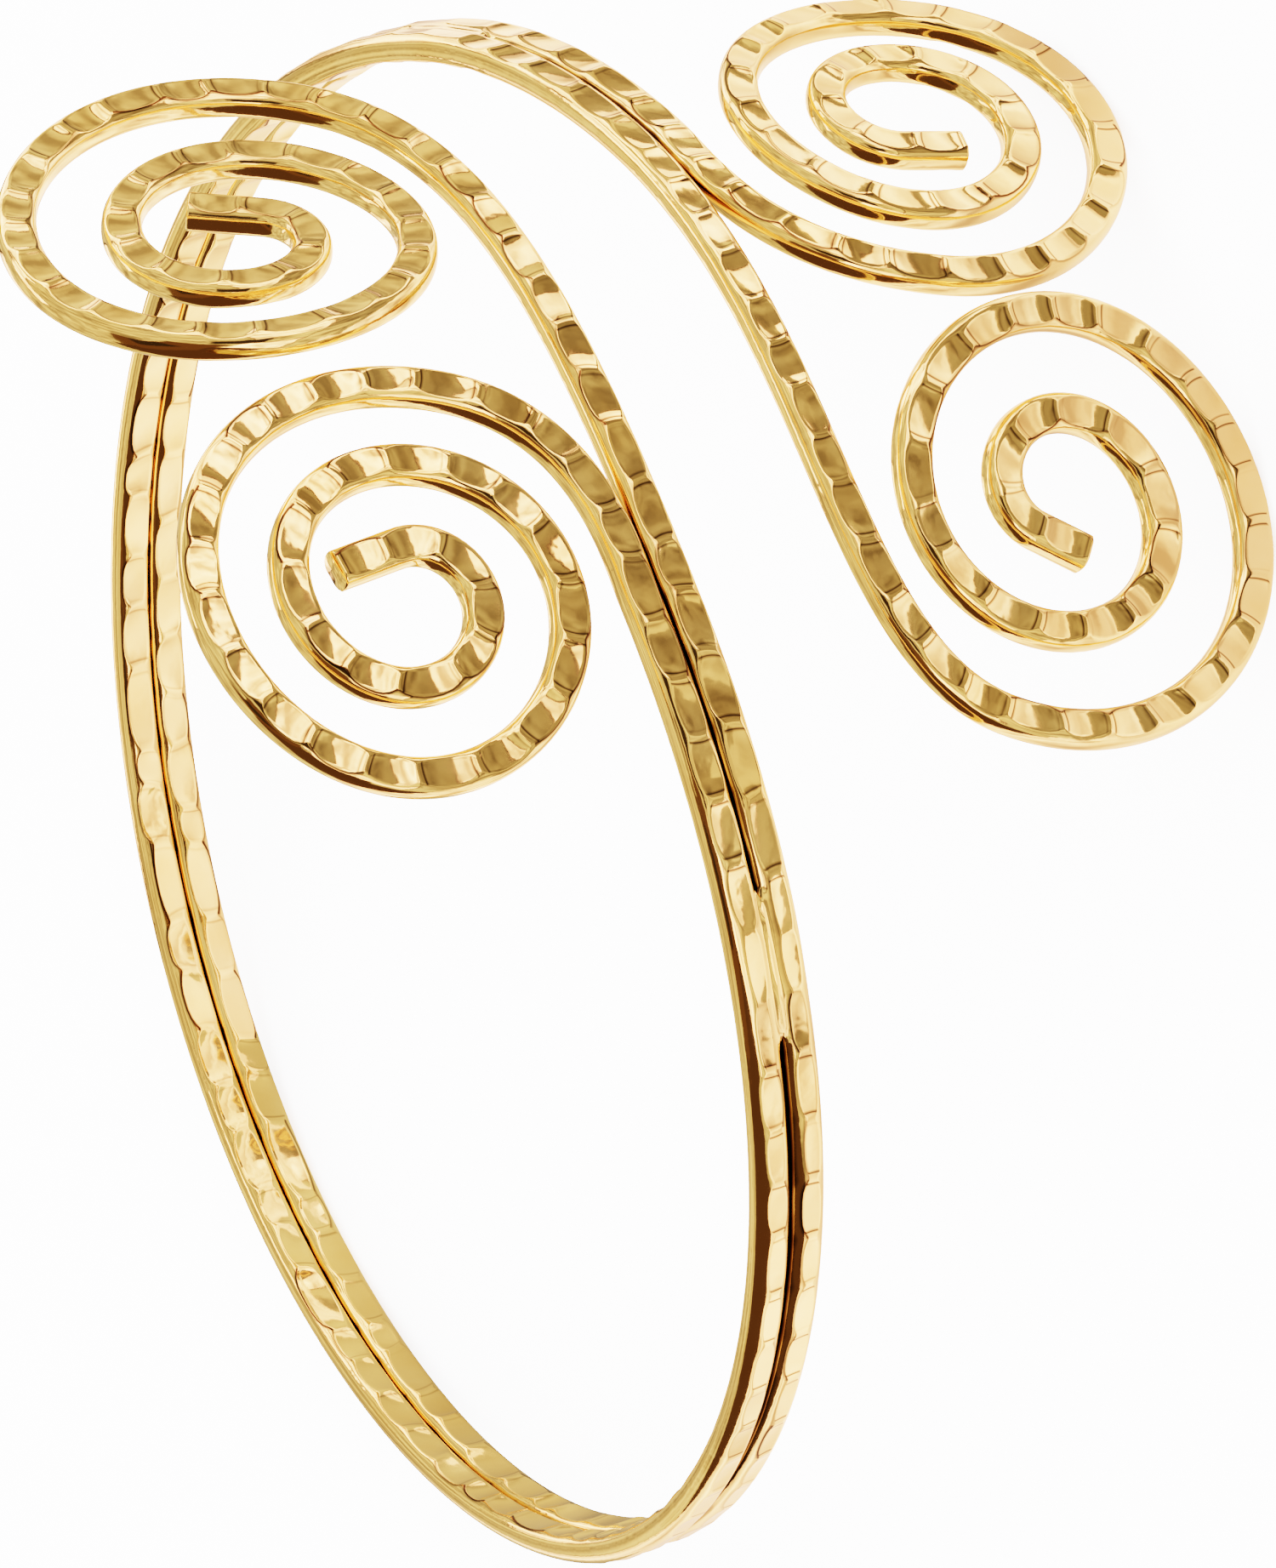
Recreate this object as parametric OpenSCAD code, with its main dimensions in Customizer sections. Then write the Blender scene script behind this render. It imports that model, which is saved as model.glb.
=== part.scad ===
// Upper arm cuff. Two hammered wires lie side by side round the arm, and a solder seam on
// each side of the opening joins them. Past the seam each wire runs off into a flat spiral,
// so four spirals stand round the opening: two direct spirals next to the end of the band,
// and two crossing spirals whose wire first passes the opening.
// The lower half of the opening is the upper half turned by half a turn about the
// line from the middle of the ring to the middle of the opening.
// The cuff lies on its side, on its two lower spirals and the back of the band.

/* [Band] */
// Inside diameter of the ring
inner_d = 85; // [60:1:120]
// How far the band climbs away from the middle plane on each side of the opening
band_climb = 9.6; // [2:0.1:15]
// Share of the half ring at which the band stands furthest from the middle plane
band_crest = 0.725; // [0.6:0.005:1]
// How far the back of the ring is bent down
back_drop = 2.3; // [0:0.1:6]

/* [Wire] */
// Width of one wire, along the arm
wire_w = 2.3; // [1.6:0.1:4]
// Thickness of one wire, away from the arm
wire_t = 1.8; // [1.2:0.1:3]
// Slit between the two wires of the band
wire_slit = 0.1; // [0.05:0.05:0.3]

/* [Hammer marks] */
// Length of one hammer mark on the band
band_mark = 3.8; // [2.5:0.1:7]
// Length of one hammer mark on a spiral
spiral_mark = 3.3; // [2.5:0.1:7]
// Depth of a hammer mark
mark_depth = 0.15; // [0.05:0.01:0.3]

/* [Solder] */
// Distance from the middle of the opening to the middle of a solder seam, along the ring
seam_at = 35.5; // [28:0.5:95]
// Length of a solder seam
seam_l = 8.5; // [4:0.5:20]

/* [Direct spirals] */
// Distance of the spiral's middle from the middle of the opening, along the ring
direct_along = 9.6; // [7:0.1:14]
// Height of the spiral's middle over the middle plane
direct_height = 23.4; // [21:0.1:30]
// Spacing of the spiral's turns
direct_pitch = 5.1; // [4.5:0.1:5.6]
// Number of turns
direct_turns = 2.58; // [2.2:0.02:2.7]
// Direction in which the spiral starts from its middle
direct_start = -2; // [-30:1:30]
// How far the spiral's edges are bent back towards the arm
direct_bow = 1.4; // [0:0.1:3]
// Angle by which the spiral leans out of the ring's direction
direct_lean = -3.7; // [-8:0.1:8]
// Distance of the spiral's middle outside the ring
direct_proud = 0.1; // [0:0.1:2]
// Distance from the middle of the opening at which the wire joins the band, along the ring
direct_join = 14; // [12:0.5:20]

/* [Crossing spirals] */
// Distance of the spiral's middle past the middle of the opening, along the ring
crossing_along = 16.4; // [13:0.1:22]
// Height of the spiral's middle over the middle plane
crossing_height = 17.7; // [16.5:0.1:24]
// Spacing of the spiral's turns
crossing_pitch = 5.9; // [5:0.1:6.2]
// Number of turns
crossing_turns = 2.4; // [2:0.05:2.5]
// Direction in which the spiral starts from its middle
crossing_start = 77; // [50:1:100]
// How far the spiral's edges are bent back towards the arm
crossing_bow = -1; // [-2:0.1:2]
// Angle by which the spiral leans out of the ring's direction
crossing_lean = -1.5; // [-8:0.1:8]
// Distance of the spiral's middle outside the ring
crossing_proud = 0.5; // [0:0.1:2]
// Distance from the middle of the opening at which the wire joins the band, along the ring
crossing_join = 15.5; // [12:0.5:25]

/* [Wire ends] */
// Radius at which the upper direct spiral's end runs straight
upper_direct_end_r = 2.8; // [2.4:0.1:3.4]
// Length of the upper direct spiral's straight end
upper_direct_end_l = 4; // [1:0.1:4.5]
// Radius at which the lower direct spiral's end runs straight
lower_direct_end_r = 3.05; // [2.4:0.05:3.4]
// Length of the lower direct spiral's straight end
lower_direct_end_l = 3.4; // [1:0.1:4.5]
// Radius at which the upper crossing spiral's end runs straight
upper_crossing_end_r = 2.65; // [2.4:0.05:3.4]
// Length of the upper crossing spiral's straight end
upper_crossing_end_l = 4.1; // [1:0.1:4.5]
// Radius at which the lower crossing spiral's end runs straight
lower_crossing_end_r = 2.7; // [2.4:0.1:3.4]
// Length of the lower crossing spiral's straight end
lower_crossing_end_l = 3.2; // [1:0.1:4.5]

/* [Hidden] */

ring_r = (inner_d + wire_t) / 2;
// Centre lines of the two wires of the band, above and below the band's middle line
wire_off = (wire_w + wire_slit) / 2;

// Places in the list that describes a spiral
ALONG = 0;
HEIGHT = 1;
PITCH = 2;
TURNS = 3;
START = 4;
BOW = 5;
LEAN = 6;
PROUD = 7;
JOIN = 8;
SWING = 9;
DRAW = 10;
// A spiral that is reached directly, and one whose wire passes the opening first.
// The last two columns are how strongly the wire keeps its direction where it leaves
// the spiral and where it joins the band, as shares of the ring's radius.
direct = [direct_along, direct_height, direct_pitch, direct_turns, direct_start,
    direct_bow, direct_lean, direct_proud, direct_join, 0.74, 0.18];
crossing = [-crossing_along, crossing_height, crossing_pitch, crossing_turns, crossing_start,
    crossing_bow, crossing_lean, crossing_proud, crossing_join, 0.75, 1.46];

// A wire's end: the radius at which it leaves the spiral, and its straight length
upper_direct_end = [upper_direct_end_r, upper_direct_end_l];
lower_direct_end = [lower_direct_end_r, lower_direct_end_l];
upper_crossing_end = [upper_crossing_end_r, upper_crossing_end_l];
lower_crossing_end = [lower_crossing_end_r, lower_crossing_end_l];

// Steps of the centre line in one turn of a spiral, in a straight end and in a lead, and
// degrees of band in one step
steps_per_turn = 72;
end_steps = 8;
lead_steps = 40;
band_step = 2;
// A short way along a curve, to find its direction
nudge = 0.001;

// Half width of the hammered face and height of the wire's shoulder, as shares of its
// width and thickness: the face is wide in a hammer mark and narrow between two marks
mark_face = 0.4;
ridge_face = 0.3;
shoulder = 0.2;
corners_per_section = 8;

// Solder between the wires: width and thickness as shares of the wire's, blocks in a seam
seam_w = 0.35;
seam_t = 0.9;
seam_blocks = 6;
block_l = 0.2;

function unit(v) = v / norm(v);
function degrees_at(arc) = arc / ring_r * 180 / PI;
function outward(angle) = [cos(angle), 0, sin(angle)];
function onward(angle) = [-sin(angle), 0, cos(angle)];
function smooth(u) = u * u * (3 - 2 * u);
function reversed(list) = [for (i = [len(list) - 1 : -1 : 0]) list[i]];

// Height of the band's middle line at an angle from the opening
function climb_at(angle) =
    let (share = sign(angle) * (180 - abs(angle)) / 180)
    band_climb * sin(90 / band_crest * share) - back_drop * pow(cos(90 * share), 2);

// A place on a wire is [point, direction of the hammered face, length of a hammer mark]
function band_place(angle, off) =
    [ring_r * outward(angle) + [0, climb_at(angle) + off, 0], outward(angle), band_mark];

// Where a spiral's wire runs, across the arm (x) and along it (y) from the spiral's middle,
// on the upper side (+1) or turned by half a turn to the lower one (-1)
function winding(spiral, side, turn) =
    let (heading = spiral[START] + (side < 0 ? 180 : 0) + 360 * turn)
    spiral[PITCH] * turn * [cos(heading), sin(heading)];

// The place that lies so far from a spiral's middle on its bent and leaning surface
function surface_place(spiral, side, xy) =
    let (angle = degrees_at(side * spiral[ALONG]),
        x = xy[0],
        y = xy[1],
        lean = side * spiral[LEAN],
        rim = spiral[PITCH] * spiral[TURNS],
        dip = -spiral[BOW] * pow(x / rim, 2),
        slope = -2 * spiral[BOW] * x / pow(rim, 2),
        out = outward(angle),
        middle = (ring_r + spiral[PROUD]) * out + [0, side * spiral[HEIGHT], 0])
    [middle + x * onward(angle) + (dip + y * sin(lean)) * out + [0, y * cos(lean), 0],
        unit(cos(lean) * (out - slope * onward(angle)) - [0, sin(lean), 0]), spiral_mark];

function spiral_place(spiral, side, turn) =
    surface_place(spiral, side, winding(spiral, side, turn));

// A place on the straight end of a wire, at a distance from the spiral
function end_place(spiral, side, end, distance) =
    let (turn = end[0] / spiral[PITCH],
        leaves = winding(spiral, side, turn),
        inwards = unit(leaves - winding(spiral, side, turn + nudge)))
    surface_place(spiral, side, leaves + distance * inwards);

// A place on the curve that leads a wire from the rim of its spiral to the band
function lead_place(spiral, side, off, u) =
    let (rim = spiral_place(spiral, side, spiral[TURNS]),
        inside = spiral_place(spiral, side, spiral[TURNS] - nudge),
        angle = degrees_at(side * spiral[JOIN]),
        joined = band_place(angle, off),
        further = band_place(angle + side * nudge, off),
        leaving = unit(rim[0] - inside[0]) * spiral[SWING] * ring_r,
        arriving = unit(further[0] - joined[0]) * spiral[DRAW] * ring_r,
        point = (1 - smooth(u)) * rim[0] + smooth(u) * joined[0]
            + u * pow(1 - u, 2) * leaving - u * u * (1 - u) * arriving,
        around = outward(atan2(point[2], point[0])))
    [point, unit((1 - smooth(u)) * rim[1] + smooth(u) * around), spiral_mark];

// One spiral with its lead, from the wire's end to the band
function limb(spiral, side, off, end) =
    let (first = end[0] / spiral[PITCH],
        steps = ceil(steps_per_turn * (spiral[TURNS] - first)))
    concat([for (i = [end_steps : -1 : 1]) end_place(spiral, side, end, end[1] * i / end_steps)],
        [for (i = [0 : steps]) spiral_place(spiral, side,
            first + (spiral[TURNS] - first) * i / steps)],
        [for (i = [1 : lead_steps]) lead_place(spiral, side, off, i / lead_steps)]);

// Centre line of a whole wire: the one above in the band (+1) or the one below (-1)
function centre_line(side, direct_end, crossing_end) =
    let (from = degrees_at(direct[JOIN]) + band_step,
        to = 360 - degrees_at(crossing[JOIN]) - band_step / 2)
    concat(limb(direct, side, side * wire_off, direct_end),
        [for (angle = [from : band_step : to]) band_place(side * angle, side * wire_off)],
        reversed(limb(crossing, -side, side * wire_off, crossing_end)));

// The place that lies a number of hammer marks along a wire
function counted(line) = [for (i = 0, count = 0; i < len(line);
    count = i + 1 < len(line) ? count + norm(line[i + 1][0] - line[i][0]) / line[i][2] : count,
    i = i + 1) [count, i]];
function between(line, f) =
    let (i = min(floor(f), len(line) - 2), u = f - i)
    [(1 - u) * line[i][0] + u * line[i + 1][0], (1 - u) * line[i][1] + u * line[i + 1][1]];

// Two places in each hammer mark: its start, where a ridge crosses the wire, and its middle
function stations(line) =
    let (table = counted(line),
        count = table[len(table) - 1][0],
        marks = round(count))
    [for (j = [0 : 2 * marks]) between(line, lookup(count * j / (2 * marks), table))];

// Corners of the wire's section, across its face and away from the arm
function corners(hammered) =
    let (face = wire_w * (hammered ? mark_face : ridge_face),
        top = wire_t / 2 - (hammered ? mark_depth : 0),
        side = wire_w / 2,
        low = wire_t * shoulder)
    [[face, top], [side, low], [side, -low], [face, -top],
        [-face, -top], [-side, -low], [-side, low], [-face, top]];

// All corner points of a wire, one section after the other
function skin(places) = [for (j = [0 : len(places) - 1])
    let (here = places[j],
        ahead = unit(places[min(j + 1, len(places) - 1)][0] - places[max(j - 1, 0)][0]),
        up = unit(here[1] - (here[1] * ahead) * ahead),
        across = cross(ahead, up))
    for (c = corners(j % 2 == 1)) here[0] + c[0] * across + c[1] * up];

upper_skin = skin(stations(centre_line(1, upper_direct_end, lower_crossing_end)));
lower_skin = skin(stations(centre_line(-1, lower_direct_end, upper_crossing_end)));
all_points = concat(upper_skin, lower_skin);

// Points of a spiral on the lower side, and of the back of the band
function spiral_points(spiral) =
    let (middle = spiral_place(spiral, -1, 0)[0],
        reach = spiral[PITCH] * spiral[TURNS] + wire_w)
    [for (p = all_points) if (norm(p - middle) < reach) p];
feet = [spiral_points(direct), spiral_points(crossing), [for (p = all_points) if (p[0] < 0) p]];

// The three points that stand lowest, and the direction square to them: the cuff is set
// on them again and again until they no longer change
function lowest(points, up) =
    let (heights = [for (p = points) p * up], least = min(heights))
    points[search(least, heights)[0]];
function standing(up, rounds) =
    rounds == 0 ? up :
    let (p = [for (foot = feet) lowest(foot, up)],
        square = unit(cross(p[1] - p[0], p[2] - p[0])))
    standing(square[1] < 0 ? -square : square, rounds - 1);

// At rest the opening looks to the front, and Z points up
rest_up = standing([0, 1, 0], 5);
rest_back = -unit([1, 0, 0] - rest_up[0] * rest_up);
rest_right = cross(rest_back, rest_up);
function rested(p) = [rest_right * p, rest_back * p, rest_up * p];
rested_points = [for (p = all_points) rested(p)];
low = [for (k = [0 : 2]) min([for (p = rested_points) p[k]])];
high = [for (k = [0 : 2]) max([for (p = rested_points) p[k]])];
origin = [(low[0] + high[0]) / 2, (low[1] + high[1]) / 2, low[2]];

module at_rest() {
    multmatrix([concat(rest_right, -origin[0]), concat(rest_back, -origin[1]),
        concat(rest_up, -origin[2])]) children();
}

// A wire from its skin: two triangles for each side of each section, and two flat ends
module wire(points) {
    n = corners_per_section;
    last = len(points) - n;
    sides = [for (j = [0 : n : last - n]) for (k = [0 : n - 1])
        let (next = (k + 1) % n)
        each [[j + k, j + n + k, j + n + next], [j + k, j + n + next, j + next]]];
    ends = [[for (k = [0 : n - 1]) k], [for (k = [n - 1 : -1 : 0]) last + k]];
    polyhedron(points, concat(sides, ends));
}

// Solder in the slit between the two wires of the band
module seam(middle) {
    module block(angle) {
        rotate([0, -angle, 0])
            translate([ring_r, climb_at(angle), 0])
                cube([wire_t * seam_t, wire_w * seam_w + wire_slit, block_l], center = true);
    }
    from = degrees_at(middle - seam_l / 2);
    step = degrees_at(seam_l) / (seam_blocks - 1);
    for (i = [0 : seam_blocks - 2])
        hull() {
            block(from + i * step);
            block(from + (i + 1) * step);
        }
}

module cuff() {
    color("gold") at_rest() {
        wire(upper_skin);
        wire(lower_skin);
        seam(seam_at);
        seam(-seam_at);
    }
}

cuff();
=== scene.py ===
import math

import bpy
import numpy as np
from mathutils import Euler, Matrix, Vector


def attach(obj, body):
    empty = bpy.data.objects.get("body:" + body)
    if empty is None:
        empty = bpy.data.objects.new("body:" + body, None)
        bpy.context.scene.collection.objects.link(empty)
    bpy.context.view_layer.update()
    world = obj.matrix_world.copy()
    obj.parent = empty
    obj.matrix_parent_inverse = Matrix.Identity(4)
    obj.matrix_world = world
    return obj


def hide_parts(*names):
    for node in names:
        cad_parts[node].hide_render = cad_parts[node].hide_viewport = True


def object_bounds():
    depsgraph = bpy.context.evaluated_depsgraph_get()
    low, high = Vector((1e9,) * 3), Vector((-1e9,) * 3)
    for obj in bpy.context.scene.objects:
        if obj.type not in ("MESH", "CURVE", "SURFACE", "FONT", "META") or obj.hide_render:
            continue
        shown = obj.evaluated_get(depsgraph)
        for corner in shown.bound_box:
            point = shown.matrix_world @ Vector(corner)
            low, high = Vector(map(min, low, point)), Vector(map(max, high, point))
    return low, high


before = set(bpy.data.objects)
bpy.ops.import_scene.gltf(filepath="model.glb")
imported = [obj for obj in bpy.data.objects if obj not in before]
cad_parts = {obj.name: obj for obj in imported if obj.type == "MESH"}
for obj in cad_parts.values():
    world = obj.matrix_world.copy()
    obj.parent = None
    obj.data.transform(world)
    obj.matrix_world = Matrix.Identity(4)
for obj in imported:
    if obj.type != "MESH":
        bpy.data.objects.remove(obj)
CAD_BOX = [[float(c) for c in corner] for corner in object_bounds()]

MM = 0.001

# The cuff's sizes, in millimetres, as in the part's source
INNER_D = 85.0
BAND_CLIMB = 9.6
BAND_CREST = 0.725
BACK_DROP = 2.3
WIRE_W = 2.3
WIRE_T = 1.8
WIRE_SLIT = 0.1
BAND_MARK = 3.8
SPIRAL_MARK = 3.3
SEAM_AT = 35.5
SEAM_L = 8.5
RING_R = (INNER_D + WIRE_T) / 2
WIRE_OFF = (WIRE_W + WIRE_SLIT) / 2
DIRECT = dict(
    along=9.6, height=23.4, pitch=5.1, turns=2.58, start=-2.0, bow=1.4, lean=-3.7,
    proud=0.1, join=14.0, swing=0.74, draw=0.18)
CROSSING = dict(
    along=-16.4, height=17.7, pitch=5.9, turns=2.4, start=77.0, bow=-1.0, lean=-1.5,
    proud=0.5, join=15.5, swing=0.75, draw=1.46)
# Radius at which each wire end leaves its spiral, and its straight length
UPPER_DIRECT_END = (2.8, 4.0)
LOWER_DIRECT_END = (3.05, 3.4)
UPPER_CROSSING_END = (2.65, 4.1)
LOWER_CROSSING_END = (2.7, 3.2)

# Section of a wire before it was hammered: a rounded box with this power
BLANK_T = 0.94
BLANK_POWER = 2.7
# Rounder outer shoulders of the wires on the band behind the solder
BACK_POWER = 2.1

# Points of the centre line in each of its stretches, its step in millimetres once they are joined,
# and a short way along a curve, to find its direction
END_POINTS = 60
SPIRAL_POINTS = 900
LEAD_POINTS = 401
BAND_POINTS = 1800
LINE_STEP = 0.05
NUDGE = 1e-4

# Rows of points in one hammer mark, and columns of points over a face and down a side
MARK_ROWS = (
    0.0, 0.02, 0.04, 0.065, 0.09, 0.13, 0.23, 0.37, 0.5, 0.63, 0.77, 0.87, 0.91, 0.935, 0.96, 0.98)
FACE_COLUMNS = (-1.0, -0.8, -0.55, -0.28, 0.0, 0.28, 0.55, 0.8, 1.0)
SIDE_COLUMNS = 11

# Hammer marks: how unlike their lengths are, and how deep, tilted and hollow they are. What has a
# SPREAD differs by that much from mark to mark.
LENGTH_SPREAD = 0.14
MARK_DEPTH = 0.19
DEPTH_SPREAD = 0.3
TILT_SPREAD = 0.07
HOLLOW = 0.02
HOLLOW_SPREAD = 0.03
# Ridges between them: height, slant and curl across the wire
PEAK_SPREAD = 0.02
SLANT_SPREAD = 0.22
CURL = -0.16
CURL_SPREAD = 0.1
# Round top of a ridge, as a share of half a mark, how flat the marks are, and how fast their tilt
# fades towards the ridges
RIDGE_ROUND = 0.16
TILT_FADE = 6.0
MARK_POWER = 3.0
# How far the ridges inside the cuff may lie from those outside, as a share of a mark
INNER_SHIFT = 0.25
# Width of the crease between face and side, how far the side laps it, as a share of its width and
# in radians round the section, and steps in which its place is looked for
CHAMFER = 0.05
CREASE_LAP = 0.3
CREASE_TUCK = 0.02
CREASE_STEPS = 240
END_ROUND = 0.08

# Painted shade: dark lines beside the ridges, with place and reach as a share of a mark, strength
# outside and inside the cuff, how much less even the inner marks are, and strength of the painted
# shade line at the outer crease
RIDGE_SHADE_AT = 0.09
RIDGE_SHADE_REACH = 0.025
OUTER_RIDGE_SHADE = 2.6
INNER_RIDGE_SHADE = 0.6
INNER_UNEVEN = 1.5
CREASE_SHADE = 0.55
# Painted shade on a wire's side in the slit: from and to, as shares of the way round it, and how
# fast it fades
SLIT_DARK_FROM = 0.22
SLIT_DARK_TO = 0.72
SLIT_DARK_FADE = 0.12
# Length past the band over which two wires still lie close together
CLOSE_REACH = 11.0

# Solder: depth under the ridges, share of the side that runs down to it, and length of its ends
SOLDER_LOW = 0.08
SOLDER_KNEE = 0.3
SOLDER_RISE = 0.4
# How much shallower the outer marks are in the solder and on the rest of the band behind it
SOLDER_FLUSH = 0.65
BACK_SHALLOW = 0.4
BACK_RISE = 6.0

# Seeds of the two wires' random draws, rounds in which the cuff settles on its three feet, and
# angle in degrees from which an edge is sharp
UPPER_SEED = 11
LOWER_SEED = 29
REST_ROUNDS = 5
SHARP_ANGLE = 55

# Metal: its two shades of gold, colour of the painted shade, noise that mixes the shades and
# roughness, and fine waves
GOLD_DEEP = (0.94, 0.66, 0.32, 1)
GOLD_PALE = (0.98, 0.74, 0.4, 1)
PAINTED_SHADE_COLOUR = (0.06, 0.028, 0.011, 1)
SHADE_SCALE = 260.0
SHADE_DETAIL = 3.0
SHADE_FROM = 0.3
SHADE_TO = 0.7
ROUGH_LEAST = 0.04
ROUGH_MOST = 0.12
WAVE_SCALE = 700.0
WAVE_DETAIL = 2.0
WAVE_STRENGTH = 0.5
WAVE_HEIGHT = 0.00004

# Camera: turns of the ring before it, in degrees about X, Y and Z, place of the ring's middle to its
# right, below it and before it, in millimetres, focal length and frame in pixels, and sensor
CAMERA_TURN = (-127.4538, 48.6207, -65.0531)
RING_BEFORE_CAMERA = (-10.56, 1.364, 751.2)
LENS_PX = 15200.0
FRAME_PX = 1500.0
SENSOR_MM = 36.0
CLIP_START = 0.01
CLIP_END = 20.0

FLOOR_SIZE = 6.0
FLOOR_COLOUR = (0.93, 0.93, 0.93, 1)
FLOOR_ROUGHNESS = 0.9
WORLD_LIGHT = 3.0
EXPOSURE = 1.6


def unit(v):
    return v / np.linalg.norm(v, axis=-1, keepdims=True)


def arc_angle(arc):
    """Angle round the ring, in radians, of a distance along it."""
    return arc / RING_R


def outward(angle):
    """Direction from the ring's axis."""
    return np.stack([np.cos(angle), 0 * angle, np.sin(angle)], -1)


def onward(angle):
    """Direction round the ring."""
    return np.stack([-np.sin(angle), 0 * angle, np.cos(angle)], -1)


def smooth(u):
    return u * u * (3 - 2 * u)


def climb_at(angle):
    """Height of the band's middle line."""
    share = np.sign(angle) * (math.pi - np.abs(angle)) / math.pi
    rise = BAND_CLIMB * np.sin(math.pi / 2 / BAND_CREST * share)
    return rise - BACK_DROP * np.cos(math.pi / 2 * share) ** 2


def band_line(angle, off):
    """Points and face directions of a wire along the band."""
    place = RING_R * outward(angle)
    place[..., 1] += climb_at(angle) + off
    return place, outward(angle)


def winding(spiral, side, turn):
    """Where a spiral's wire runs, across and along the arm from the spiral's middle."""
    heading = math.radians(spiral["start"]) + (math.pi if side < 0 else 0) + 2 * math.pi * turn
    return spiral["pitch"] * turn * np.cos(heading), spiral["pitch"] * turn * np.sin(heading)


def surface_line(spiral, side, x, y):
    """Points and face directions on the bent and leaning surface of a spiral."""
    angle = np.full_like(x, side * arc_angle(spiral["along"]))
    lean = side * math.radians(spiral["lean"])
    rim = spiral["pitch"] * spiral["turns"]
    dip = -spiral["bow"] * (x / rim) ** 2
    slope = -2 * spiral["bow"] * x / rim**2
    out, on = outward(angle), onward(angle)
    up = np.array([0.0, 1.0, 0.0])
    place = (RING_R + spiral["proud"]) * out + side * spiral["height"] * up
    place = place + x[:, None] * on + (dip + y * math.sin(lean))[:, None] * out
    place = place + (y * math.cos(lean))[:, None] * up
    face = math.cos(lean) * (out - slope[:, None] * on) - math.sin(lean) * up
    return place, unit(face)


def spiral_line(spiral, side, turn):
    """Points and face directions of a wire along a spiral."""
    return surface_line(spiral, side, *winding(spiral, side, turn))


def end_line(spiral, side, end, distance):
    """Points and face directions of the straight end of a wire."""
    turn = end[0] / spiral["pitch"]
    x, y = winding(spiral, side, np.array([turn, turn + NUDGE]))
    along = unit(np.array([x[0] - x[1], y[0] - y[1]]))
    return surface_line(spiral, side, x[0] + distance * along[0], y[0] + distance * along[1])


def lead_line(spiral, side, off, u):
    """Points and face directions of a wire between its spiral's rim and the band."""
    rim, rim_face = spiral_line(spiral, side, np.array([spiral["turns"] - NUDGE, spiral["turns"]]))
    angle = side * arc_angle(spiral["join"])
    joined, _ = band_line(np.array([angle, angle + side * NUDGE]), off)
    leaving = unit(rim[1] - rim[0]) * spiral["swing"] * RING_R
    arriving = unit(joined[1] - joined[0]) * spiral["draw"] * RING_R
    w = smooth(u)[:, None]
    u = u[:, None]
    place = (1 - w) * rim[1] + w * joined[0]
    place = place + u * (1 - u) ** 2 * leaving - u * u * (1 - u) * arriving
    around = outward(np.arctan2(place[:, 2], place[:, 0]))
    return place, unit((1 - w) * rim_face[1] + w * around)


def limb(spiral, side, off, end):
    """One spiral with its lead, from the wire's end to the band."""
    turns = np.linspace(end[0] / spiral["pitch"], spiral["turns"], SPIRAL_POINTS)
    parts = [
        end_line(spiral, side, end, np.linspace(end[1], 0, END_POINTS)[:-1]),
        spiral_line(spiral, side, turns),
        lead_line(spiral, side, off, np.linspace(0, 1, LEAD_POINTS)[1:])]
    return tuple(np.concatenate([part[k] for part in parts]) for k in (0, 1))


def centre_line(side, direct_end, crossing_end):
    """Centre line of a whole wire: points, face directions and where the band lies on it."""
    off = side * WIRE_OFF
    start, finish = arc_angle(DIRECT["join"]), 2 * math.pi - arc_angle(CROSSING["join"])
    angles = np.linspace(start, finish, BAND_POINTS)[1:-1]
    turned = np.where(angles > math.pi, angles - 2 * math.pi, angles)
    head = limb(DIRECT, side, off, direct_end)
    middle = band_line(side * turned, off)
    tail = limb(CROSSING, -side, off, crossing_end)
    points = np.concatenate([head[0], middle[0], tail[0][::-1]])
    faces = np.concatenate([head[1], middle[1], tail[1][::-1]])
    on_band = np.zeros(len(points))
    on_band[len(head[0]):len(head[0]) + len(angles)] = 1
    return points, faces, on_band


class Line:
    """A centre line that can be asked for places by length along it."""

    def __init__(self, points, faces, on_band):
        gaps = np.linalg.norm(np.diff(points, axis=0), axis=1)
        along = np.concatenate([[0], np.cumsum(gaps)])
        self.length = along[-1]
        self.at = np.linspace(0, self.length, int(self.length / LINE_STEP))

        def pick(v):
            return np.stack([np.interp(self.at, along, v[:, k]) for k in range(3)], -1)

        self.place = pick(points)
        self.ahead = unit(np.gradient(self.place, self.at, axis=0))
        face = pick(faces)
        self.face = unit(face - (face * self.ahead).sum(-1, keepdims=True) * self.ahead)
        self.across = np.cross(self.ahead, self.face)
        self.on_band = np.interp(self.at, along, on_band)
        arc = RING_R * np.abs(np.arctan2(self.place[:, 2], self.place[:, 0]))
        past = np.abs(arc - SEAM_AT) - SEAM_L / 2
        self.solder = smooth(np.clip(0.5 - past / SOLDER_RISE, 0, 1)) * (self.on_band > 0.5)
        behind = smooth(np.clip(0.5 + (arc - SEAM_AT) / BACK_RISE, 0, 1)) * (self.on_band > 0.5)
        self.power = BLANK_POWER - (BLANK_POWER - BACK_POWER) * behind
        self.shallow = np.maximum(SOLDER_FLUSH * self.solder, BACK_SHALLOW * behind)
        band = self.at[self.on_band > 0.5]
        off_band = np.maximum(0, np.maximum(band[0] - self.at, self.at - band[-1]))
        self.close = smooth(np.clip(1 - off_band / CLOSE_REACH, 0, 1))

    def read(self, values, length):
        return np.stack([np.interp(length, self.at, values[:, k]) for k in range(3)], -1)

    def point(self, length, x, z):
        """A point beside the centre line: x across the wire's face, z away from the arm."""
        past = length - np.clip(length, 0, self.length)
        here = self.read(self.place, length) + past[..., None] * self.read(self.ahead, length)
        here = here + x[..., None] * self.read(self.across, length)
        return here + z[..., None] * self.read(self.face, length)


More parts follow.
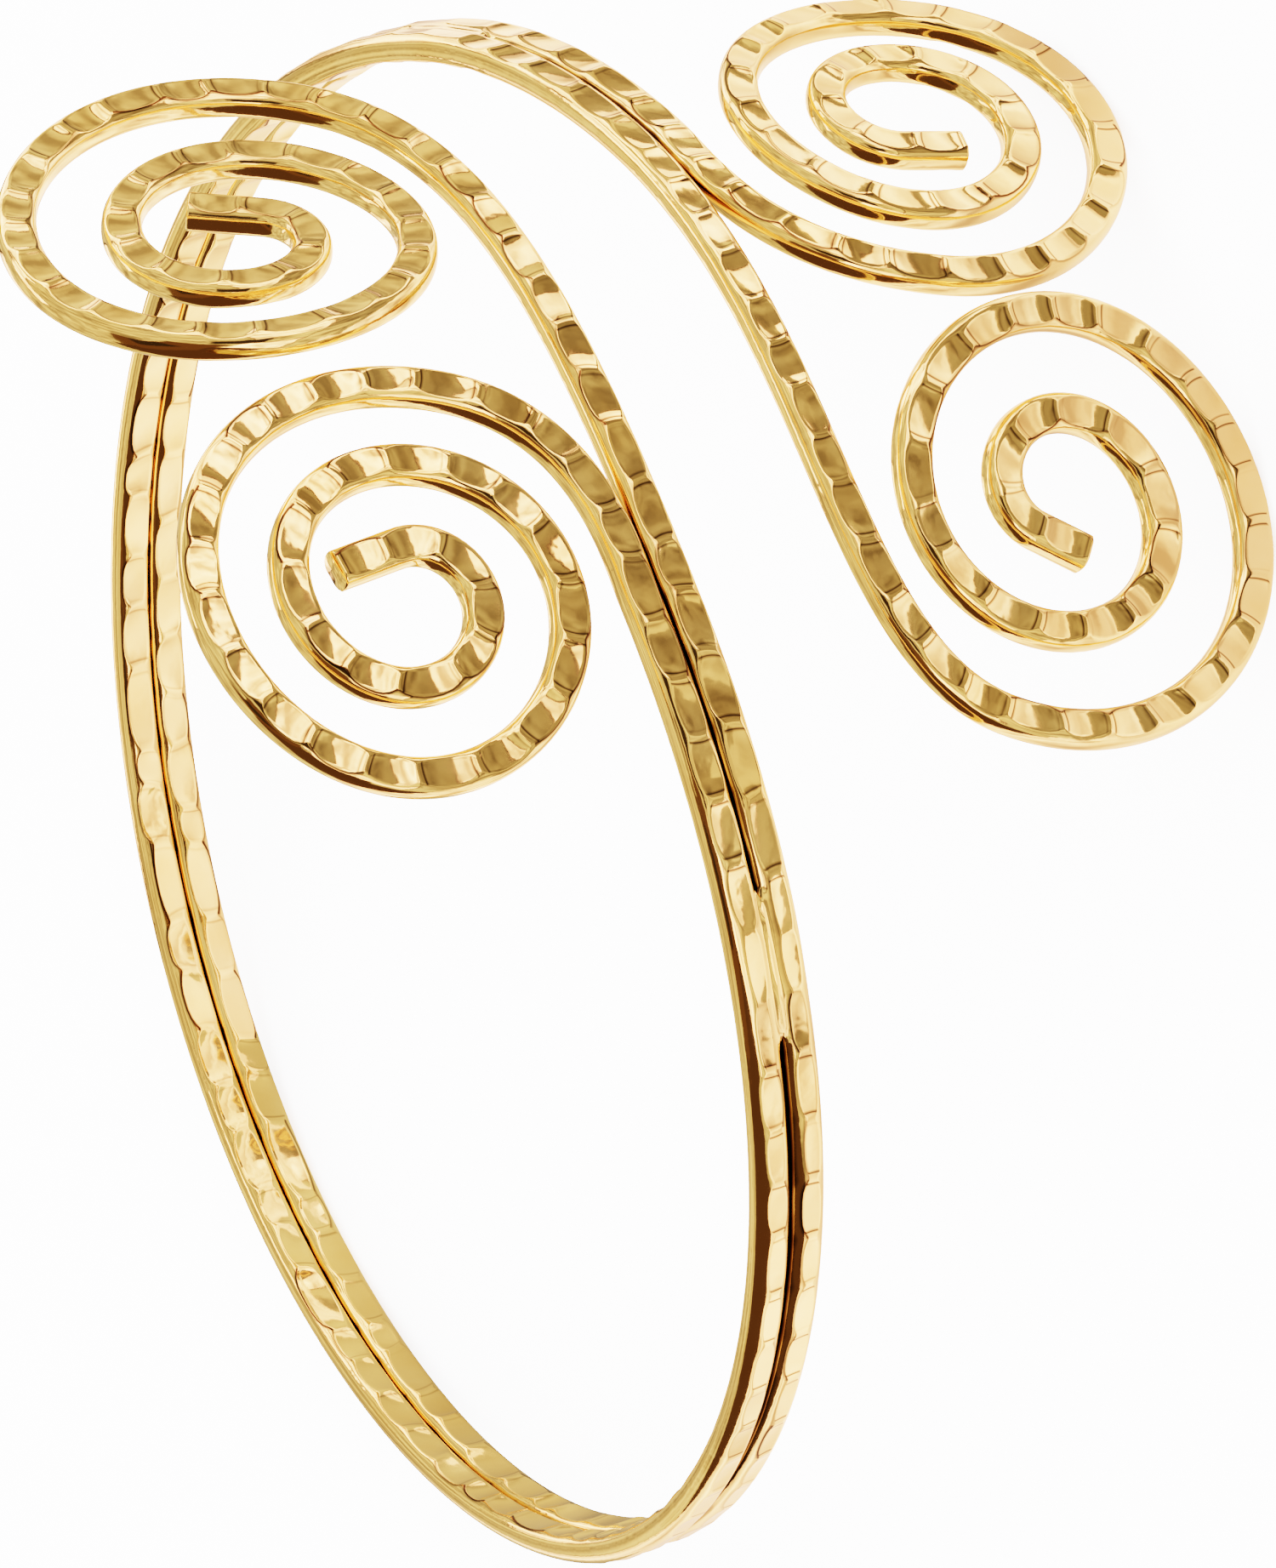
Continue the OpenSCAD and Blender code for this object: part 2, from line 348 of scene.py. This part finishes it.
def mark_edges(line, rng):
    """Where one hammer mark ends and the next begins, along the wire."""
    edges = [0.0]
    while edges[-1] < line.length:
        on_band = np.interp(edges[-1], line.at, line.on_band)
        mean = SPIRAL_MARK + (BAND_MARK - SPIRAL_MARK) * on_band
        edges.append(edges[-1] + mean * (1 + LENGTH_SPREAD * rng.uniform(-1, 1)))
    return np.array(edges) * line.length / edges[-1]


def hammer_marks(count, shade_strength, uneven, rng):
    """Random form of each mark and ridge on one face of a wire."""
    return dict(
        depth=MARK_DEPTH * (1 + DEPTH_SPREAD * rng.uniform(-1, 1, count)),
        tilt=TILT_SPREAD * uneven * rng.uniform(-1, 1, count),
        hollow=HOLLOW + HOLLOW_SPREAD * rng.uniform(0, 1, count),
        peak=PEAK_SPREAD * rng.uniform(-1, 1, count + 1),
        slant=SLANT_SPREAD * uneven * rng.uniform(-1, 1, count + 1),
        curl=CURL + CURL_SPREAD * rng.uniform(-1, 1, count + 1),
        # Strength of the painted shade lines beside both ridges and at the outer crease
        shade_strength=shade_strength * rng.uniform(0, 1, (3, count)))


def face_height(marks, k, u, x):
    """Height of the hammered face over the wire's middle: rows by columns."""
    ridge = WIRE_T / 2 + (1 - u) * marks["peak"][k] + u * marks["peak"][k + 1]
    off_middle = np.abs(2 * u - 1)
    from_ridge = np.hypot(1 - off_middle, RIDGE_ROUND) - RIDGE_ROUND
    from_ridge = from_ridge / (math.hypot(1, RIDGE_ROUND) - RIDGE_ROUND)
    bowl = marks["depth"][k] * (1 - (1 - from_ridge) ** MARK_POWER)
    ends = np.minimum(1, TILT_FADE * np.minimum(u, 1 - u))
    cross = marks["tilt"][k] * x + marks["hollow"][k] * x * x
    return ridge - bowl + cross * ends


def ridge_shade(marks, k, u):
    """Painted shade: a dark line at the foot of a ridge."""
    strength = np.minimum(1, marks["shade_strength"])
    near = np.clip(1 - np.abs(u - RIDGE_SHADE_AT) / RIDGE_SHADE_REACH, 0, 1) * strength[0][k]
    far = np.clip(1 - np.abs(1 - u - RIDGE_SHADE_AT) / RIDGE_SHADE_REACH, 0, 1) * strength[1][k]
    return near + far


def crease(marks, k, u, sign, power):
    """How far from the middle the hammered face runs before it meets the round side."""
    xs = np.linspace(0, WIRE_W / 2, CREASE_STEPS)
    blank = BLANK_T * (1 - (xs / (WIRE_W / 2)) ** power[:, None]) ** (1 / power[:, None])
    face = face_height(marks, k[:, None], u[:, None], sign * xs[None])
    first = np.argmax(blank < face, axis=1)
    i = np.maximum(first, 1)
    rows = np.arange(len(k))
    gap0 = blank[rows, i - 1] - face[rows, i - 1]
    gap1 = blank[rows, i] - face[rows, i]
    part = np.clip(gap0 / np.maximum(gap0 - gap1, 1e-9), 0, 1)
    return xs[i - 1] + part * (xs[1] - xs[0])


def blank_angle(x, power):
    """Place round the blank section that lies at x from the middle."""
    return np.arccos(np.clip(x / (WIRE_W / 2), 0, 1) ** (power / 2))


def side_columns(sign, top, bottom, solder, power):
    """Round side of a wire, from the crease of its outer face to that of its inner face."""
    first = blank_angle(top + CREASE_LAP * CHAMFER, power) - CREASE_TUCK
    last = blank_angle(bottom + CREASE_LAP * CHAMFER, BLANK_POWER) - CREASE_TUCK
    level = WIRE_T / 2 - SOLDER_LOW
    for g in np.linspace(0, 1, SIDE_COLUMNS):
        a = (1 - g) * first - g * last
        share = 2 / np.where(a > 0, power, BLANK_POWER)
        x = WIRE_W / 2 * np.abs(np.cos(a)) ** share
        z = BLANK_T * np.sign(np.sin(a)) * np.abs(np.sin(a)) ** share
        crease_x, run = (top, g / SOLDER_KNEE) if g < 0.5 else (bottom, (1 - g) / SOLDER_KNEE)
        run = min(run, 1.0)
        filled_x = (1 - run) * crease_x + run * WIRE_OFF
        down = np.clip((g - SOLDER_KNEE) / (1 - 2 * SOLDER_KNEE), 0, 1)
        filled_z = (1 - run) * z + run * level * (1 - 2 * down)
        x = (1 - solder) * x + solder * filled_x
        yield g, sign * x, (1 - solder) * z + solder * filled_z


def slit_shade(g):
    """Painted shade on a wire's side in the slit, from its outer crease (0) to its inner one (1)."""
    rise = smooth(min(1, max(0, (g - SLIT_DARK_FROM) / SLIT_DARK_FADE)))
    fall = smooth(min(1, max(0, (SLIT_DARK_TO - g) / SLIT_DARK_FADE)))
    return rise * fall


def wire_rows(line, rng):
    """Rows of points round a wire, and the painted shade at each point."""
    edges = mark_edges(line, rng)
    count = len(edges) - 1
    outer = hammer_marks(count, OUTER_RIDGE_SHADE, 1.0, rng)
    inner = hammer_marks(count, INNER_RIDGE_SHADE, INNER_UNEVEN, rng)
    outer["depth"] *= 1 - np.interp((edges[1:] + edges[:-1]) / 2, line.at, line.shallow)
    shift = INNER_SHIFT * SPIRAL_MARK * rng.uniform(-1, 1, count + 1)
    shift[[0, -1]] = 0
    for marks in (outer, inner):
        marks["slant"][[0, -1]] = 0
        marks["curl"][[0, -1]] = 0
    k = np.append(np.repeat(np.arange(count), len(MARK_ROWS)), count - 1)
    u = np.append(np.tile(np.array(MARK_ROWS), count), 1.0)
    here = (1 - u) * edges[k] + u * edges[k + 1]
    solder = np.interp(here, line.at, line.solder)
    close = np.interp(here, line.at, line.close)
    power = np.interp(here, line.at, line.power)

    def length(marks, x, moved):
        """Distance along the wire of each point of a row, for its place across the face."""
        ridge = edges + moved * shift
        near = ridge[k] + marks["slant"][k] * x + marks["curl"][k] * x * x
        far = ridge[k + 1] + marks["slant"][k + 1] * x + marks["curl"][k + 1] * x * x
        return (1 - u) * near + u * far

    faces = ((outer, 1, 0.0, power), (inner, -1, 1.0, np.full_like(power, BLANK_POWER)))
    reach = [{s: crease(marks, k, u, s, form) for s in (-1, 1)} for marks, _, _, form in faces]
    columns = []
    painted_shades = []

    def add_face(which, order):
        marks, up, moved, _ = faces[which]
        for share in order:
            x = share * (reach[which][1 if share > 0 else -1] - CHAMFER)
            columns.append((length(marks, x, moved), x, up * face_height(marks, k, u, x)))
            # Painted shade beside the ridges, none in the solder
            painted_shades.append(ridge_shade(marks, k, u) * (1 - solder))

    def add_side(sign, filled):
        made = []
        for g, x, z in side_columns(sign, reach[0][sign], reach[1][sign], filled, power):
            w = smooth(g)
            x_crease = sign * ((1 - g) * reach[0][sign] + g * reach[1][sign])
            along = (1 - w) * length(outer, x_crease, 0.0) + w * length(inner, x_crease, 1.0)
            made.append((along, x, z))
            # Painted shade: a dark line along the outer crease
            crease_shade_line = CREASE_SHADE * outer["shade_strength"][2][k] * (g == 0)
            # Painted shade on the side that faces the other wire in the slit
            painted_slit_shade = close * slit_shade(g) * (1 - filled) if sign < 0 else 0
            painted_shades.append(crease_shade_line + painted_slit_shade)
        columns.extend(made if sign < 0 else made[::-1])

    add_face(0, FACE_COLUMNS[::-1])
    add_side(-1, solder)
    add_face(1, FACE_COLUMNS)
    add_side(1, 0 * solder)
    lengths, xs, zs = (np.stack([c[i] for c in columns], 1) for i in range(3))
    return line.point(lengths, xs, zs), np.stack(painted_shades, 1).astype(float)


def closed_mesh(points, painted_shade, ahead):
    """Rows of points with both ends closed: points, four-sided faces, triangles, painted shade."""
    ends = []
    for row, way in ((0, -1), (-1, 1)):
        middle = points[row].mean(0)
        moved = middle + (1 - END_ROUND) * (points[row] - middle)
        ends.append(moved + way * END_ROUND * ahead[row])
    points = np.concatenate([ends[0][None], points, ends[1][None]])
    painted_shade = np.pad(painted_shade, ((1, 1), (0, 0))).ravel()
    rows, n = points.shape[:2]
    index = np.arange(rows * n).reshape(rows, n)
    a, b = index[:-1], index[1:]
    quads = np.stack([a, np.roll(a, -1, 1), np.roll(b, -1, 1), b], -1).reshape(-1, 4)
    verts = np.concatenate([points.reshape(-1, 3), points[[0, -1]].mean(1)])
    first_cap = [(rows * n, index[0, (j + 1) % n], index[0, j]) for j in range(n)]
    last_cap = [(rows * n + 1, index[-1, j], index[-1, (j + 1) % n]) for j in range(n)]
    return verts, quads, first_cap + last_cap, np.append(painted_shade, [0, 0])


def wire_mesh(name, side, direct_end, crossing_end, seed):
    line = Line(*centre_line(side, direct_end, crossing_end))
    points, painted_shade = wire_rows(line, np.random.default_rng(seed))
    return name, *closed_mesh(points, painted_shade, line.ahead)


def resting(points):
    """Turns the cuff so that it lies on its two lower spirals and the back of the band."""
    feet = []
    for spiral in (DIRECT, CROSSING):
        middle = spiral_line(spiral, -1, np.array([0.0]))[0][0]
        reach = spiral["pitch"] * spiral["turns"] + WIRE_W
        feet.append(points[np.linalg.norm(points - middle, axis=1) < reach])
    feet.append(points[points[:, 0] < 0])
    up = np.array([0.0, 1.0, 0.0])
    for _ in range(REST_ROUNDS):
        low = [foot[np.argmin(foot @ up)] for foot in feet]
        up = unit(np.cross(low[1] - low[0], low[2] - low[0]))
        up = up if up[1] > 0 else -up
    back = -unit(np.array([1.0, 0.0, 0.0]) - up[0] * up)
    return np.stack([np.cross(back, up), back, up])


def make_object(name, verts, quads, triangles, painted_shade, turn, shift):
    mesh = bpy.data.meshes.new(name)
    places = (verts @ turn.T + shift) * MM
    mesh.from_pydata(places.tolist(), [], quads.tolist() + [list(map(int, t)) for t in triangles])
    mesh.polygons.foreach_set("use_smooth", [True] * len(mesh.polygons))
    mesh.set_sharp_from_angle(angle=math.radians(SHARP_ANGLE))
    # Painted shade along ridges, creases and the slit, kept on the mesh for its material
    mesh.attributes.new("painted_shade", "FLOAT", "POINT").data.foreach_set("value", painted_shade)
    piece = bpy.data.objects.new(name, mesh)
    bpy.context.scene.collection.objects.link(piece)
    return piece


def new_material(name):
    material = bpy.data.materials.new(name)
    material.use_nodes = True
    return material, material.node_tree.nodes, material.node_tree.links


def add_noise(nodes, links, scale, detail):
    """Soft noise on an object's own coordinates."""
    place = nodes.new("ShaderNodeTexCoord")
    noise = nodes.new("ShaderNodeTexNoise")
    noise.inputs["Scale"].default_value = scale
    noise.inputs["Detail"].default_value = detail
    links.new(place.outputs["Object"], noise.inputs["Vector"])
    return noise.outputs["Fac"]


def gold():
    """Polished gold-coloured metal, with painted shade where its painted_shade value is high."""
    material, nodes, links = new_material("gold_metal")
    shader = nodes["Principled BSDF"]
    shader.inputs["Metallic"].default_value = 1.0
    patches = add_noise(nodes, links, SHADE_SCALE, SHADE_DETAIL)
    tint = nodes.new("ShaderNodeValToRGB")
    tint.color_ramp.elements[0].position = SHADE_FROM
    tint.color_ramp.elements[1].position = SHADE_TO
    tint.color_ramp.elements[0].color = GOLD_DEEP
    tint.color_ramp.elements[1].color = GOLD_PALE
    links.new(patches, tint.inputs["Fac"])
    painted_shade = nodes.new("ShaderNodeAttribute")
    painted_shade.attribute_name = "painted_shade"
    shade_mix = nodes.new("ShaderNodeMix")
    shade_mix.data_type = "RGBA"
    # Colour of the painted shade
    shade_mix.inputs["B"].default_value = PAINTED_SHADE_COLOUR
    links.new(painted_shade.outputs["Fac"], shade_mix.inputs["Factor"])
    links.new(tint.outputs["Color"], shade_mix.inputs["A"])
    links.new(shade_mix.outputs["Result"], shader.inputs["Base Color"])
    polish = nodes.new("ShaderNodeMapRange")
    polish.inputs["To Min"].default_value = ROUGH_LEAST
    polish.inputs["To Max"].default_value = ROUGH_MOST
    links.new(patches, polish.inputs["Value"])
    links.new(polish.outputs["Result"], shader.inputs["Roughness"])
    bump = nodes.new("ShaderNodeBump")
    bump.inputs["Strength"].default_value = WAVE_STRENGTH
    bump.inputs["Distance"].default_value = WAVE_HEIGHT
    links.new(add_noise(nodes, links, WAVE_SCALE, WAVE_DETAIL), bump.inputs["Height"])
    links.new(bump.outputs["Normal"], shader.inputs["Normal"])
    return material


def build_cuff():
    """Both wires, turned and moved into the part's frame: returns that turn and shift."""
    parts = [wire_mesh("upper_wire", 1, UPPER_DIRECT_END, LOWER_CROSSING_END, UPPER_SEED),
             wire_mesh("lower_wire", -1, LOWER_DIRECT_END, UPPER_CROSSING_END, LOWER_SEED)]
    points = np.concatenate([p[1] for p in parts])
    turn = resting(points)
    turned = points @ turn.T
    low, high = turned.min(0), turned.max(0)
    corner = np.array(CAD_BOX) / MM
    shift = (corner[0] + corner[1]) / 2 - (low + high) / 2
    shift[2] = corner[0][2] - low[2]
    finish = gold()
    for part in parts:
        piece = make_object(*part, turn, shift)
        piece.data.materials.append(finish)
        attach(piece, "root")
        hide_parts("cuff")
    return turn, shift


def set_camera(turn, shift):
    """Camera at the photo's angle to the ring."""
    view = np.array(Euler([math.radians(angle) for angle in CAMERA_TURN]).to_matrix())
    place = turn @ (-view.T @ np.array(RING_BEFORE_CAMERA)) + shift
    axes = view @ turn.T
    data = bpy.data.cameras.new("camera")
    data.sensor_fit = "HORIZONTAL"
    data.sensor_width = SENSOR_MM
    data.lens = LENS_PX / FRAME_PX * SENSOR_MM
    data.clip_start = CLIP_START
    data.clip_end = CLIP_END
    camera = bpy.data.objects.new("camera", data)
    columns = np.stack([axes[0], -axes[1], -axes[2]], 1)
    matrix = Matrix(columns.tolist()).to_4x4()
    matrix.translation = Vector((place * MM).tolist())
    camera.matrix_world = matrix
    bpy.context.scene.collection.objects.link(camera)
    bpy.context.scene.camera = camera


def set_stage():
    """Plain pale floor."""
    bpy.ops.mesh.primitive_plane_add(size=FLOOR_SIZE)
    floor = bpy.context.object
    floor.name = "floor"
    material, nodes, _ = new_material("floor")
    shader = nodes["Principled BSDF"]
    shader.inputs["Base Color"].default_value = FLOOR_COLOUR
    shader.inputs["Roughness"].default_value = FLOOR_ROUGHNESS
    shader.inputs["Specular IOR Level"].default_value = 0.0
    floor.data.materials.append(material)


# Reflector cards of a small light tent round the cuff, which show only in the metal:
# name, azimuth from and to, elevation at both ends below and above, in degrees, colour,
# radius in metres. Azimuth 0 is in front of the cuff and 90 to its right.
CREAM = (1.0, 0.58, 0.4)
SHEET = (0.97, 0.575, 0.395)
TAN = (0.21, 0.155, 0.09)
OCHRE = (0.265, 0.19, 0.11)
BROWN = (0.135, 0.1, 0.058)
SHADE = (0.052, 0.026, 0.011)
UMBER = (0.034, 0.018, 0.008)
DARK = (0.018, 0.012, 0.006)
CARDS = (
    ("skirt_left", -62, -24, (-17, -17), (3, 5), OCHRE, 0.13),
    ("skirt", -24, 25, (-17, -17), (5, 5), BROWN, 0.13),
    ("skirt_edge", -62, 25, (4, 5), (5.2, 6.2), DARK, 0.13),
    ("slot_left", 26, 42, (-17, -17), (14, 14), CREAM, 0.1305),
    ("skirt_right", 43.5, 76.5, (-17, -17), (11, 11), OCHRE, 0.13),
    ("skirt_right_edge", 43.5, 76.5, (11, 11), (12.4, 12.4), DARK, 0.13),
    ("slot_right", 78, 108, (-17, -17), (14, 14), CREAM, 0.1305),
    ("skirt_far", 109, 118, (-17, -17), (8, 8), TAN, 0.13),
    ("front", -21, 100, (3, 3), (31, 31), CREAM, 0.162),
    ("left", -80, -53, (4, 4), (36, 34), CREAM, 0.165),
    ("back", 80, 152, (34, 34), (45, 45), CREAM, 0.165),
    ("back_low", 132, 151, (-14, -14), (4, 4), CREAM, 0.165),
    ("camera_side", -50, -24, (24, 24), (49, 49), DARK, 0.16),
    ("back_dark", -160, -91, (-12, -12), (12, 21), UMBER, 0.166),
    ("back_shade", -160, -80, (5, 14), (40, 40), UMBER, 0.1662),
    ("upper_shade", -155, -58, (38, 38), (66, 66), SHADE, 0.1664),
    ("upper_dark", -138, -98, (50, 50), (64, 64), DARK, 0.1655),
)
# Cards flat on the floor: name, azimuth from and to, radius from and to, colour
FLOOR_CARDS = (
    ("foot", -62, 118, 0.096, 0.13, BROWN),
    ("foot_edge", -62, 118, 0.0945, 0.096, DARK),
    ("foot_back", 122, 188, 0.062, 0.17, TAN),
    ("foot_inner", 163, 222, 0.026, 0.062, TAN),
)
# Dark rim round the pale cards: width in degrees, and how far behind them it stands
RIM = 1.2
RIM_BEHIND = 0.001
# The tent itself, and the sheet and cards on its floor, in metres
TENT_R = 0.17
TENT_MIDDLE = (0.0, 0.0, 0.035)
SHEET_HALF = 0.3
SHEET_HEIGHT = 0.0002
FLOOR_CARD_HEIGHT = 0.0004
CARD_COLUMNS = 24
CARD_ROWS = 10
# Noise on the patchy cards, the stretch of it that is used, and their weakest and strongest light
GLOW_SCALE = 38.0
GLOW_DETAIL = 1.5
GLOW_FROM = 0.32
GLOW_TO = 0.68
PATCHY = {
    CREAM: (0.5, 2.2), SHEET: (0.32, 1.5), TAN: (0.58, 2.25), OCHRE: (0.53, 1.82), BROWN: (0.45, 1.7)}


def glow(name, colour):
    """Light of a card: plain, or in soft patches."""
    material, nodes, links = new_material(name)
    nodes.remove(nodes["Principled BSDF"])
    light = nodes.new("ShaderNodeEmission")
    light.inputs["Color"].default_value = (*colour, 1)
    light.inputs["Strength"].default_value = 1.0
    links.new(light.outputs["Emission"], nodes["Material Output"].inputs["Surface"])
    if colour in PATCHY:
        level = nodes.new("ShaderNodeMapRange")
        level.inputs["From Min"].default_value = GLOW_FROM
        level.inputs["From Max"].default_value = GLOW_TO
        level.inputs["To Min"].default_value = PATCHY[colour][0]
        level.inputs["To Max"].default_value = PATCHY[colour][1]
        links.new(add_noise(nodes, links, GLOW_SCALE, GLOW_DETAIL), level.inputs["Value"])
        links.new(level.outputs["Result"], light.inputs["Strength"])
    return material


def only_in_metal(card):
    """Hides a card from everything but reflections."""
    card.visible_camera = False
    card.visible_diffuse = False
    card.visible_shadow = False
    card.visible_transmission = False
    card.visible_volume_scatter = False


def tent_point(azimuth, elevation, radius):
    """A place on a ball round the tent's middle."""
    a, e = math.radians(azimuth), math.radians(elevation)
    flat = radius * math.cos(e)
    x, y, z = TENT_MIDDLE
    return x + flat * math.sin(a), y - flat * math.cos(a), z + radius * math.sin(e)


def add_grid(name, columns, rows, place, colour):
    """A card whose points are told by their shares across and up it."""
    verts = [place(i / columns, j / rows) for i in range(columns + 1) for j in range(rows + 1)]
    quads = []
    for i in range(columns):
        for j in range(rows):
            c = i * (rows + 1) + j
            quads.append((c, c + rows + 1, c + rows + 2, c + 1))
    mesh = bpy.data.meshes.new(name)
    mesh.from_pydata(verts, [], quads)
    card = bpy.data.objects.new(name, mesh)
    bpy.context.scene.collection.objects.link(card)
    mesh.materials.append(glow(name, colour))
    only_in_metal(card)


def add_card(name, az0, az1, low, high, colour, radius):
    def place(across, up):
        bottom = low[0] + across * (low[1] - low[0])
        top = high[0] + across * (high[1] - high[0])
        return tent_point(az0 + across * (az1 - az0), bottom + up * (top - bottom), radius)

    add_grid(name, CARD_COLUMNS, CARD_ROWS, place, colour)


def add_floor_card(name, az0, az1, inner, outer, colour):
    def place(across, up):
        x, y, _ = tent_point(az0 + across * (az1 - az0), 0, inner + up * (outer - inner))
        return x, y, FLOOR_CARD_HEIGHT

    add_grid(name, CARD_COLUMNS, 1, place, colour)


def add_sheet():
    """What the metal shows of the floor."""
    def place(across, up):
        return (2 * across - 1) * SHEET_HALF, (2 * up - 1) * SHEET_HALF, SHEET_HEIGHT

    add_grid("tent_sheet", 1, 1, place, SHEET)


def set_light():
    """Even white light for the floor, the tent for the metal, and the picture's tone."""
    world = bpy.data.worlds.new("studio")
    world.use_nodes = True
    sky = world.node_tree.nodes["Background"]
    sky.inputs["Color"].default_value = (1, 1, 1, 1)
    sky.inputs["Strength"].default_value = WORLD_LIGHT
    bpy.context.scene.world = world
    add_card("tent", -180, 180, (-60, -60), (90, 90), TAN, TENT_R)
    add_sheet()
    for name, *form in FLOOR_CARDS:
        add_floor_card("card_" + name, *form)
    for name, az0, az1, low, high, colour, radius in CARDS:
        add_card("card_" + name, az0, az1, low, high, colour, radius)
        if colour == CREAM:
            below, above = [e - RIM for e in low], [e + RIM for e in high]
            add_card("rim_" + name, az0 - RIM, az1 + RIM, below, above, DARK, radius + RIM_BEHIND)
    view = bpy.context.scene.view_settings
    view.view_transform = "Filmic"
    view.look = "High Contrast"
    view.exposure = EXPOSURE


set_stage()
TURN, SHIFT = build_cuff()
set_camera(TURN, SHIFT)
set_light()
